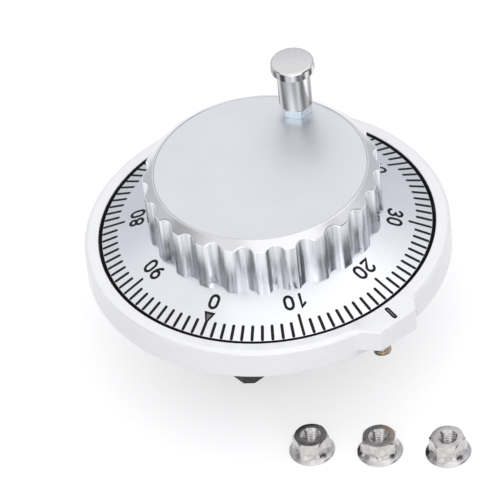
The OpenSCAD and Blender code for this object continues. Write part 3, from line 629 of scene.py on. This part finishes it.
def ribbon(path, width, closed=False):
    """Flat stroke of even width along a path, as points and faces. An open path has round ends."""
    half = width / 2
    count = len(path)
    points, faces = [], []
    for i, here in enumerate(path):
        into = here - path[i - 1] if i > 0 or closed else path[1] - here
        out = path[(i + 1) % count] - here if i < count - 1 or closed else into
        along = (into.normalized() + out.normalized()).normalized()
        across = Vector((-along.y, along.x))
        reach = half / max(0.6, along.dot(out.normalized()))
        points += [here + across * reach, here - across * reach]
    for i in range(count if closed else count - 1):
        j = (i + 1) % count
        faces.append((2 * i, 2 * i + 1, 2 * j + 1, 2 * j))
    if not closed:
        for centre, inner, first in ((path[0], path[1], 0), (path[-1], path[-2], 2 * count - 2)):
            outward = math.atan2(centre.y - inner.y, centre.x - inner.x)
            turns = [outward + math.radians(60 - 30 * k) for k in range(5)]
            start = len(points)
            points += [centre + half * Vector((math.cos(t), math.sin(t))) for t in turns]
            near, far = (first + 1, first) if first == 0 else (first, first + 1)
            faces.append((near, *range(start, start + 5), far))
    return points, faces


def laid_on_dial(angle, flat):
    """Lays a stroke on the dial. Its y is the radius and its x the distance clockwise."""
    points, faces = flat
    return [on_dial(angle, p.y, p.x, LIFT) for p in points], faces


def graduations():
    """One black line per pulse, with round ends. Every tenth is longer, except at zero."""
    parts = []
    for i in range(PULSES):
        numbered = i % 10 == 0 and i > 0
        width = 0.62 if numbered else 0.68
        inner = RIM_R - (5.05 if numbered else 3.55) + width / 2
        stroke = ribbon(line((0, inner), (0, RIM_R - width / 2)), width)
        parts.append(laid_on_dial(ZERO_ANGLE + math.radians(360 / PULSES * i), stroke))
    points, faces = several(parts)
    finish_mesh("graduations", points, faces, PAINT, "handwheel")


def zero_pointer():
    """Black triangle that points at the zero line, with a grey painted highlight in its middle."""
    half, tail, tip = 0.95, 30.85, 33.1
    corners = ((-half, tail), (half, tail), (0, tip))
    points, faces = laid_on_dial(ZERO_ANGLE, ribbon(line(*corners), 0.5, True))
    finish_mesh("zero_pointer", points, faces, PAINT, "handwheel")
    inside = [on_dial(ZERO_ANGLE, y, x, LIFT - 0.004) for x, y in corners]
    # Grey triangle inside the outline: a painted highlight on the black paint.
    finish_mesh("zero_pointer_middle", inside, [(0, 1, 2)], PAINTED_SHEEN, "handwheel")


def oval(x, y, radius_x, radius_y, start=0, end=360):
    """Points along part of an ellipse. A whole one leaves out its last point."""
    steps = max(2, round(abs(end - start) / 15))
    count = steps if end - start == 360 else steps + 1
    turns = [math.radians(start + (end - start) * i / steps) for i in range(count)]
    return [Vector((x + radius_x * math.cos(t), y + radius_y * math.sin(t))) for t in turns]


def digit_strokes():
    """Centre lines of every digit in a box of one by one, each with whether it is closed."""
    six = [(oval(0.5, 0.31, 0.5, 0.31), True), (oval(0.95, 0.31, 0.95, 0.69, 180, 105), False)]
    turned_six = [([Vector((1, 1)) - point for point in path], closed) for path, closed in six]
    three = oval(0.47, 0.76, 0.45, 0.24, 160, -90) + oval(0.47, 0.26, 0.53, 0.26, 75, -160)
    five = line((0.92, 1), (0.12, 1), (0.06, 0.53)) + oval(0.47, 0.32, 0.53, 0.32, 120, -150)
    return {
        "0": [(oval(0.5, 0.66, 0.5, 0.34, 0, 180) + oval(0.5, 0.34, 0.5, 0.34, 180, 359), True)],
        "1": [(line((0.1, 0.76), (0.56, 1), (0.56, 0)), False)],
        "2": [(oval(0.5, 0.7, 0.5, 0.3, 165, -30) + line((0, 0), (1, 0)), False)],
        "3": [(three, False)],
        "4": [(line((0.74, 0), (0.74, 1), (0, 0.28), (1, 0.28)), False)],
        "5": [(five, False)],
        "6": six,
        "7": [(line((0, 1), (1, 1), (0.35, 0)), False)],
        "8": [(oval(0.5, 0.76, 0.43, 0.24), True), (oval(0.5, 0.27, 0.5, 0.27), True)],
        "9": turned_six,
    }


def numerals():
    """The numbers 0 to 90 on the dial, with their tops outwards."""
    stroke = 0.62
    low, high = 26.5 + stroke / 2, 29.95 - stroke / 2
    wide = 1.72
    gap = 1.0
    strokes = digit_strokes()
    parts = []
    for i in range(10):
        angle = ZERO_ANGLE + math.radians(36 * i)
        digits = str(10 * i)
        start = -(wide * len(digits) + gap * (len(digits) - 1)) / 2
        for place, digit in enumerate(digits):
            left = start + place * (wide + gap)
            for path, closed in strokes[digit]:
                flat = [Vector((left + p.x * wide, low + p.y * (high - low))) for p in path]
                parts.append(laid_on_dial(angle, ribbon(flat, stroke, closed)))
    points, faces = several(parts)
    finish_mesh("numerals", points, faces, PAINT, "handwheel")


# ---------- knob ----------

def flute_radius(angle):
    """Radius of the fluted drum in a direction, with the edges of its lands rounded."""
    step = 2 * math.pi / FLUTES
    off = (angle - ZERO_ANGLE + step / 2) % step - step / 2
    far = VALLEY_R + FLUTE_R
    inside = (far * math.cos(off)) ** 2 - far ** 2 + FLUTE_R ** 2
    cut = far * math.cos(off) - math.sqrt(inside) if inside > 0 else CREST_R + 2
    return round_min(CREST_R, cut, 0.32)


def knob_drum():
    """Hollow fluted drum. The flutes run out in the bevel below its flat top."""
    boss_bore, boss_r, boss_z = 4.02, 7, 17.9
    bevel_foot, level_step = 22.2, 0.05
    cap_gap = 0.02

    def cone(z):
        return FLAT_R + (KNOB_TOP - z) / BEVEL

    def wall(z):
        return lambda angle: round_min(flute_radius(angle), cone(z), 0.16)

    levels = [KNOB_FOOT, KNOB_FOOT + 4, KNOB_FOOT + 8]
    levels += [bevel_foot + level_step * i for i in range(47)]
    profile = [(wall(z), z) for z in levels if z < KNOB_TOP - 0.08]
    profile += [(FLAT_R + 0.03, KNOB_TOP - 0.06), (FLAT_R - 0.04, KNOB_TOP), (CAP_R + 0.07, KNOB_TOP),
                (CAP_R + cap_gap, KNOB_TOP - 0.05), (CAP_R + cap_gap, PLATE_TOP),
                (boss_bore, PLATE_TOP), (boss_bore, boss_z), (boss_r, boss_z), (boss_r, PLATE_Z),
                (BORE_R, PLATE_Z), (BORE_R, KNOB_FOOT)]
    points, faces = turned(profile, even(FLUTES * 30), looped=True)
    drum = finish_mesh("knob_drum", points, faces, BEVEL_METAL, "handwheel", ["knob"],
                       sharp=40)
    # The flute walls carry streaks painted into their colour, standing in for reflections.
    paint_faces(drum, FLUTE_METAL, lambda r, z: z < KNOB_TOP - 0.3 and r < cone(z) - 0.1)
    # The narrow band where flutes meet the bevel gets a brighter colour: a painted highlight along the
    # edge.
    paint_faces(drum, EDGE_HIGHLIGHT_METAL, lambda r, z: z < KNOB_TOP - 0.3 and 0.04 < cone(z) - r < 0.22)


def knob_cap():
    """Satin cap that fills the recess in the knob's top."""
    edge = 0.14
    profile = [(0, PLATE_TOP + SEAT), (CAP_R, PLATE_TOP + SEAT), (CAP_R, KNOB_TOP - edge),
               (CAP_R - edge * 0.3, KNOB_TOP - edge * 0.3), (CAP_R - edge, KNOB_TOP), (0, KNOB_TOP)]
    points, faces = turned(profile, even(360))
    finish_mesh("knob_cap", points, faces, CAP, "handwheel", ["top_cap"])


# ---------- crank ----------

def hexagon(across_flats, start, cut=0.0):
    """Radius of a hexagon in a direction. One corner points to start, and cut is turned off each."""
    limit = across_flats / math.sqrt(3) - cut

    def radius(angle):
        off = (angle - start) % (math.pi / 3) - math.pi / 6
        return min(limit, across_flats / 2 / math.cos(off))

    return radius


def crank_pin():
    """The grip's pin, with the chamfered hexagon that it is tightened by.

    The groove for its snap ring is left out. It is inside the grip and can't be seen.
    """
    corner = CRANK_ANGLE + math.radians(40)
    foot = KNOB_TOP + SEAT
    end = grip_high.z - 2.3
    chamfer = 0.3
    levels = ((chamfer, foot), (0, foot + 0.17), (0, HEX_TOP - chamfer), (0.22, HEX_TOP - 0.12),
              (0.45, HEX_TOP))
    profile = [(PIN_R, PLATE_Z - 4.5), (PIN_R, foot),
               *[(hexagon(HEX_AF, corner, cut), z) for cut, z in levels],
               (PIN_R, HEX_TOP), (PIN_R, end - chamfer), (PIN_R - chamfer, end), (0, end)]
    points, faces = turned(profile, even(144, corner), (CRANK.x, CRANK.y))
    finish_mesh("crank_hex", points, faces, BLUE_ZINC, "handwheel", ["crank_pin"], sharp=25)


def crank_grip():
    """Chromed grip: a straight body that flares into a flat head with a rounded rim."""
    body_r = 3.7
    bore = PIN_R + 0.05
    groove_r = PIN_R + 0.7
    ring_play = 0.3
    edge = 0.25
    head_edge = 0.6
    foot = grip_low.z
    top = grip_high.z
    bore_end = top - 2.0
    neck = top - 2.3
    ring_low, ring_high = mm_box("crank_snap_ring")
    groove = [(bore, ring_high.z + ring_play), (groove_r, ring_high.z + ring_play),
              (groove_r, ring_low.z - ring_play), (bore, ring_low.z - ring_play)]
    flare = [(body_r, neck - 0.75), (body_r + 0.05, neck - 0.5), (body_r + 0.2, neck - 0.25),
             (body_r + 0.55, neck - 0.02)]
    profile = [(0, bore_end), (bore, bore_end), *groove, (bore, foot + 0.15), (bore + 0.15, foot),
               (body_r - 0.3, foot), *arc(body_r - edge, foot + edge, edge, -80, 0, 4), *flare,
               *arc(HEAD_R - edge, neck + edge, edge, -75, 0, 4),
               *arc(HEAD_R - head_edge, top - head_edge, head_edge, 0, 90, 8), (0, top)]
    points, faces = turned(profile, even(144), (CRANK.x, CRANK.y))
    grip = finish_mesh("grip_body", points, faces, CHROME, "grip", ["crank_grip"])
    # The wall below the head gets chrome with painted reflections: streaks that stand in for reflected
    # light and dark.
    paint_faces(grip, CHROME_PAINTED_REFLECTIONS, lambda r, z: z < top - 0.35)


# ---------- detent spring ----------

def detent_spring():
    """Coil spring behind the plunger."""
    low, high = mm_box("detent_spring")
    wire_r = 0.175
    sides = 10
    turns = 4
    steps = 28 * turns  # rings of points along the wire
    axis_z = (low.z + high.z) / 2
    coil_r = (high.x - low.x) / 2 - wire_r
    rise = high.y - low.y - 2 * wire_r
    points = []
    for i in range(steps + 1):
        turn = 2 * math.pi * turns * i / steps
        for around in even(sides):
            reach = coil_r + wire_r * math.cos(around)
            along = low.y + wire_r + rise * i / steps + wire_r * math.sin(around)
            points.append((reach * math.cos(turn), along, axis_z - reach * math.sin(turn)))
    faces = [tuple(range(sides)), tuple(range(len(points) - sides, len(points)))]
    faces += [(i * sides + j, (i + 1) * sides + j, (i + 1) * sides + (j + 1) % sides,
               i * sides + (j + 1) % sides) for i in range(steps) for j in range(sides)]
    spring = finish_mesh("coil_spring", points, faces, SPRING_STEEL, "housing",
                         ["detent_spring"], sharp=60)
    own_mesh(spring)


# ---------- studs and nuts ----------

def thread(core, crest, z):
    """Radius of a screw thread at height z, as a function of direction."""
    def radius(angle):
        phase = (z / THREAD_PITCH - angle / (2 * math.pi)) % 1
        wave = abs(2 * phase - 1)
        return core + (crest - core) * min(1.0, max(0.0, 1.25 * wave - 0.12))

    return radius


def threaded_studs():
    """Three studs with cut threads. The roots of the threads are darkened with a painted shade."""
    low, head = mm_box("mounting_studs")[0].z, 3.8
    crest = STUD_D / 2 - 0.08
    core = crest - 0.43
    end_chamfer = 0.1
    levels = [low + THREAD_STEP * s for s in range(3, int(-low / THREAD_STEP) + 1)]
    profile = [(0, low), (core - end_chamfer, low), (core, low + end_chamfer),
               *[(thread(core, crest, z), z) for z in levels], (core, 0.05), (core, head), (0, head)]
    centres = [(STUD_R * math.cos(turn), STUD_R * math.sin(turn)) for turn in even(3, INDEX_ANGLE)]
    points, faces = several([turned(profile, even(40), centre) for centre in centres])
    studs = finish_mesh("threaded_studs", points, faces, YELLOW_ZINC, "housing",
                        ["mounting_studs"], sharp=50)
    # Faces at the thread roots get a near-black colour: painted shade in the grooves.
    paint_faces(studs, THREAD_ROOT_SHADE, lambda r, z: low + end_chamfer < z < 0 and r < core + 0.14, centres)


def flange_nut(centre, corner, height):
    """Hexagon nut with a dished flange and a threaded bore."""
    hexagonal = hexagon(NUT_AF, corner)
    top = FLOOR_Z + height
    bore = 1.68
    crest = 1.95
    rim = 0.25
    rim_r = NUT_FLANGE / 2 - rim

    def dish(share):
        """Radius of the flange's hollow upper side, from the hexagon to the rim."""
        flange_in = NUT_AF / 2 + 0.1
        return flange_in + (rim_r - flange_in) * share

    body = [(bore + 0.5, FLOOR_Z), (rim_r, FLOOR_Z), *arc(rim_r, FLOOR_Z + 0.3, rim, -60, 60, 5),
            (dish(0.9), FLOOR_Z + 0.66), (dish(0.6), FLOOR_Z + 0.9), (dish(0.3), FLOOR_Z + 1.22),
            (lambda angle: max(dish(0.05), hexagonal(angle) - 0.1), FLOOR_Z + 1.55),
            (hexagonal, FLOOR_Z + 1.62)]
    cuts = ((0, 0.42), (0.1, 0.36), (0.24, 0.26), (0.4, 0.12), (0.52, 0.02))
    cone = [(hexagon(NUT_AF, corner, cut), top - depth) for cut, depth in cuts]
    mouth = [(NUT_AF / 2 - 0.12, top), (crest + 0.3, top)]
    levels = [top - 0.35 - THREAD_STEP * s for s in range(int((height - 0.8) / THREAD_STEP))]
    threads = [(thread(bore, crest, z), z) for z in levels]
    return turned([*body, *cone, *mouth, *threads, (bore, FLOOR_Z + 0.45)], even(96, corner), centre,
                  looped=True)


def nuts():
    """The three loose nuts, in a row between the corners of their box."""
    low, high = mm_box("flange_nuts")
    centre = middle("flange_nuts")
    reach = Vector((high.x - low.x - NUT_FLANGE, low.y - high.y + NUT_FLANGE)) / 2
    row = math.atan2(reach.y, reach.x)
    parts = []
    for i in (-1, 0, 1):
        place = Vector((centre.x, centre.y)) + reach * i
        parts.append(flange_nut(place, row + (math.pi / 6 if i == 0 else 0), high.z - low.z))
    points, faces = several(parts)
    finish_mesh("loose_flange_nuts", points, faces, STAINLESS, "housing",
                ["flange_nuts"], sharp=24)


# ---------- carried-over CAD nodes ----------

def dress_carried_nodes():
    """Gives every CAD node that still shows its finish, and six of them a fine bevel."""
    bevelled = {"rear_case": 0.35, "terminal_block": 0.2, "terminal_plates": 0.08,
                "case_screws": 0.1, "terminal_screws": 0.1, "circuit_board": 0.08}
    for name, material in CARRIED.items():
        node = NODES[name]
        node.data.materials.clear()
        node.data.materials.append(material)
        if name in bevelled:
            bevel = node.modifiers.new("bevel", "BEVEL")
            bevel.width = bevelled[name] * MM
            bevel.segments = 2
            bevel.limit_method = "ANGLE"
            bevel.angle_limit = math.radians(50)
            bevel.harden_normals = True


# ---------- studio ----------

def combined(tree, operation, first, second):
    """Output of a math node that combines two sockets."""
    node = tree.nodes.new("ShaderNodeMath")
    node.operation = operation
    tree.links.new(first, node.inputs[0])
    tree.links.new(second, node.inputs[1])
    return node.outputs[0]


def floor():
    """Pale floor: it keeps the shadow, and from below it can be seen through."""
    size = 3.0
    mesh = bpy.data.meshes.new("floor")
    corners = [(-size, -size), (size, -size), (size, size), (-size, size)]
    mesh.from_pydata([(x, y, (FLOOR_Z - SEAT) * MM) for x, y in corners], [], [(0, 1, 2, 3)])
    plane = bpy.data.objects.new("floor", mesh)
    bpy.context.scene.collection.objects.link(plane)
    material = bpy.data.materials.new("floor_paper")
    material.use_nodes = True
    tree = material.node_tree
    shader = tree.nodes["Principled BSDF"]
    shader.inputs["Base Color"].default_value = (0.54, 0.54, 0.545, 1)
    shader.inputs["Roughness"].default_value = 1.0
    shader.inputs["Specular IOR Level"].default_value = 0.0
    path = tree.nodes.new("ShaderNodeLightPath")
    seen = path.outputs["Is Camera Ray"]
    for kind in ("Is Glossy Ray", "Is Transmission Ray"):
        seen = combined(tree, "MAXIMUM", seen, path.outputs[kind])
    glow = tree.nodes.new("ShaderNodeEmission")
    glow.inputs["Color"].default_value = (0.6, 0.6, 0.604, 1)
    tree.links.new(seen, glow.inputs["Strength"])
    lit = tree.nodes.new("ShaderNodeAddShader")
    tree.links.new(shader.outputs["BSDF"], lit.inputs[0])
    tree.links.new(glow.outputs["Emission"], lit.inputs[1])
    clear = tree.nodes.new("ShaderNodeBsdfTransparent")
    side = tree.nodes.new("ShaderNodeNewGeometry")
    sides = tree.nodes.new("ShaderNodeMixShader")
    tree.links.new(side.outputs["Backfacing"], sides.inputs["Fac"])
    tree.links.new(lit.outputs["Shader"], sides.inputs[1])
    tree.links.new(clear.outputs["BSDF"], sides.inputs[2])
    tree.links.new(sides.outputs["Shader"], tree.nodes["Material Output"].inputs["Surface"])
    mesh.materials.append(material)


def room():
    """Soft light from all round: bright overhead, dim low down in front and at both sides."""
    world = bpy.data.worlds.new("studio")
    bpy.context.scene.world = world
    world.use_nodes = True
    tree = world.node_tree
    background = tree.nodes["Background"]
    direction = tree.nodes.new("ShaderNodeTexCoord").outputs["Generated"]
    split = tree.nodes.new("ShaderNodeSeparateXYZ")
    tree.links.new(direction, split.inputs["Vector"])

    def eased(value, from_min, from_max, to_min, to_max):
        span = tree.nodes.new("ShaderNodeMapRange")
        span.interpolation_type = "SMOOTHSTEP"
        for key, number in (("From Min", from_min), ("From Max", from_max),
                            ("To Min", to_min), ("To Max", to_max)):
            span.inputs[key].default_value = number
        tree.links.new(value, span.inputs["Value"])
        return span.outputs["Result"]

    def by_height(stops):
        """Grey by the sine of the elevation, from -1 to 1."""
        ramp = tree.nodes.new("ShaderNodeValToRGB")
        ramp.color_ramp.elements.remove(ramp.color_ramp.elements[1])
        for i, (sine, color) in enumerate(stops):
            position = (sine + 1) / 2
            stop = ramp.color_ramp.elements[0] if i == 0 else ramp.color_ramp.elements.new(position)
            stop.position = position
            stop.color = (*color, 1)
        height = tree.nodes.new("ShaderNodeMapRange")
        height.inputs["From Min"].default_value = -1.0
        tree.links.new(split.outputs["Z"], height.inputs["Value"])
        tree.links.new(height.outputs["Result"], ramp.inputs["Fac"])
        return ramp.outputs["Color"]

    below, overhead = (0.8, 0.8, 0.82), (0.85, 0.85, 0.85)
    back = by_height([(-1, below), (0, (0.6, 0.61, 0.65)), (0.35, (0.64, 0.65, 0.69)),
                      (0.54, (0.73, 0.74, 0.78)), (0.67, (0.95, 0.955, 0.98)),
                      (0.88, (0.95, 0.95, 0.95)), (1, overhead)])
    front = by_height([(-1, below), (-0.12, (0.1, 0.1, 0.11)), (0.1, (0.04, 0.04, 0.045)),
                       (0.28, (0.95, 0.96, 0.99)), (0.7, (0.91, 0.92, 0.945)),
                       (0.88, (0.95, 0.95, 0.96)), (1, overhead)])
    mix = tree.nodes.new("ShaderNodeMix")
    mix.data_type = "RGBA"
    tree.links.new(eased(split.outputs["Y"], -0.35, 0.2, 0, 1), mix.inputs["Factor"])
    tree.links.new(front, mix.inputs["A"])
    tree.links.new(back, mix.inputs["B"])
    tree.links.new(mix.outputs["Result"], background.inputs["Color"])

    right = combined(tree, "MAXIMUM", eased(split.outputs["X"], 0.45, 0.75, 1, 0.1),
                     eased(split.outputs["Y"], -0.25, 0.0, 0, 1))
    left = combined(tree, "MAXIMUM", eased(split.outputs["X"], -0.8, -0.5, 0.45, 1),
                    eased(split.outputs["Y"], 0.05, 0.3, 0, 1))
    tree.links.new(combined(tree, "MULTIPLY", left, right), background.inputs["Strength"])


def softbox(name, place, aim, width, height, power):
    """Soft rectangular lamp. Places are in metres."""
    data = bpy.data.lights.new(name, "AREA")
    data.shape = "RECTANGLE"
    data.size = width
    data.size_y = height
    data.energy = power
    lamp = bpy.data.objects.new(name, data)
    lamp.location = place
    direction = Vector(aim) - Vector(place)
    lamp.rotation_euler = direction.to_track_quat("-Z", "Y").to_euler()
    bpy.context.scene.collection.objects.link(lamp)


def camera():
    """Long lens at the photograph's angle: above the front, and turned a little about its own axis."""
    elevation = math.radians(41.96)
    roll = math.radians(-6.63)
    distance = 1317.5
    aside = 3.696
    above = 4.825
    flat_right = Vector((1, 0, 0))
    flat_up = Vector((0, math.sin(elevation), math.cos(elevation)))
    forward = Vector((0, math.cos(elevation), -math.sin(elevation)))
    right = math.cos(roll) * flat_right + math.sin(roll) * flat_up
    up = -math.sin(roll) * flat_right + math.cos(roll) * flat_up
    place = Vector((0, 0, RIM_Z)) - aside * right - above * up - distance * forward
    data = bpy.data.cameras.new("camera")
    data.sensor_width = 36
    data.lens = 436.15
    data.clip_start = 0.1
    data.clip_end = 20
    eye = bpy.data.objects.new("camera", data)
    axes = Matrix((right, up, -forward)).transposed()
    eye.matrix_world = Matrix.Translation(place * MM) @ axes.to_4x4()
    bpy.context.scene.collection.objects.link(eye)
    bpy.context.scene.camera = eye


camera()
floor()
room()
softbox("key", (0.45, -0.22, 1.3), (0.45, -0.22, 0), 1.6, 1.8, 3.0)
softbox("front", (0.2, -1.35, 0.38), (0, 0, 0), 1.8, 0.6, 4.6)
softbox("fill", (-0.9, -0.75, 0.7), (0, 0, 0), 0.9, 0.9, 1.0)

bezel()
index_line()
bosses()
dial()
graduations()
zero_pointer()
numerals()
knob_drum()
knob_cap()
crank_pin()
crank_grip()
detent_spring()
threaded_studs()
nuts()
dress_carried_nodes()

scene = bpy.context.scene
scene.view_settings.view_transform = "Standard"
